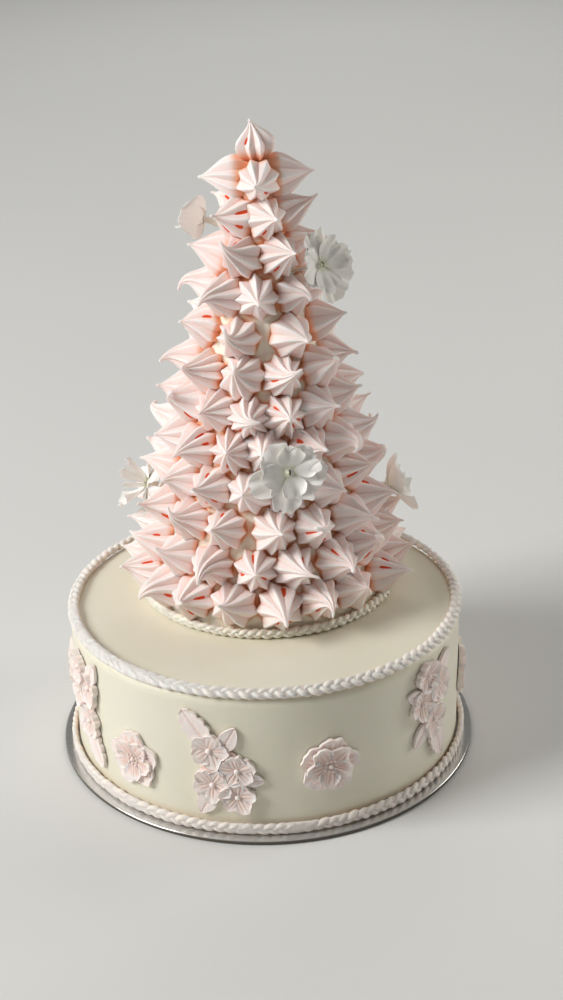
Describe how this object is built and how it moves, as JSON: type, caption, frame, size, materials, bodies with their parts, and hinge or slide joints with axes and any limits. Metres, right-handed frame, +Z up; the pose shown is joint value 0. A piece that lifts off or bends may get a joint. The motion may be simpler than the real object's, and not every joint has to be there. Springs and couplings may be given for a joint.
{
  "type": "meringue tower",
  "caption": "Cone of piped pink meringue kisses with white blossoms on a round ivory cake with icing braids, moulded flowers and a silver board.",
  "frame": {"origin": "middle of the silver board's underside, on the surface that the cake stands on", "axes": "+Z up, front of the cake towards -Y, +X to the right as seen from the front"},
  "size_m": [0.2794, 0.2794, 0.4125],
  "materials": {
    "silver_board": "silver foil over card, softly reflecting",
    "ivory_covering": "smooth satin icing covering",
    "braid_icing": "matt piped icing, pinkish white",
    "pink_meringue": "dry matt meringue, pale pink, on ivory cream",
    "white_petal": "thin matt white petals with a yellow-green throat",
    "ornament_icing": "matt moulded icing, pale pink"
  },
  "bodies": {
    "root": {"cake_board": "silver_board", "base_cake": "ivory_covering", "top_edge_braid": "braid_icing", "foot_braid": "braid_icing", "tower_foot_braid": "braid_icing", "meringue_tower": "pink_meringue", "crown_kiss": "pink_meringue", "white_flower_1": "white_petal", "white_flower_2": "white_petal", "white_flower_3": "white_petal", "white_flower_4": "white_petal", "white_flower_5": "white_petal", "white_flower_6": "white_petal", "white_flower_7": "white_petal", "pink_blossom_1": "ornament_icing", "pink_blossom_2": "ornament_icing", "pink_blossom_3": "ornament_icing", "pink_blossom_4": "ornament_icing", "pink_blossom_5": "ornament_icing", "pink_blossom_6": "ornament_icing", "pink_sprig_1": "ornament_icing", "pink_sprig_2": "ornament_icing", "pink_sprig_3": "ornament_icing", "pink_sprig_4": "ornament_icing", "pink_sprig_5": "ornament_icing", "pink_sprig_6": "ornament_icing"}
  },
  "joints": []
}
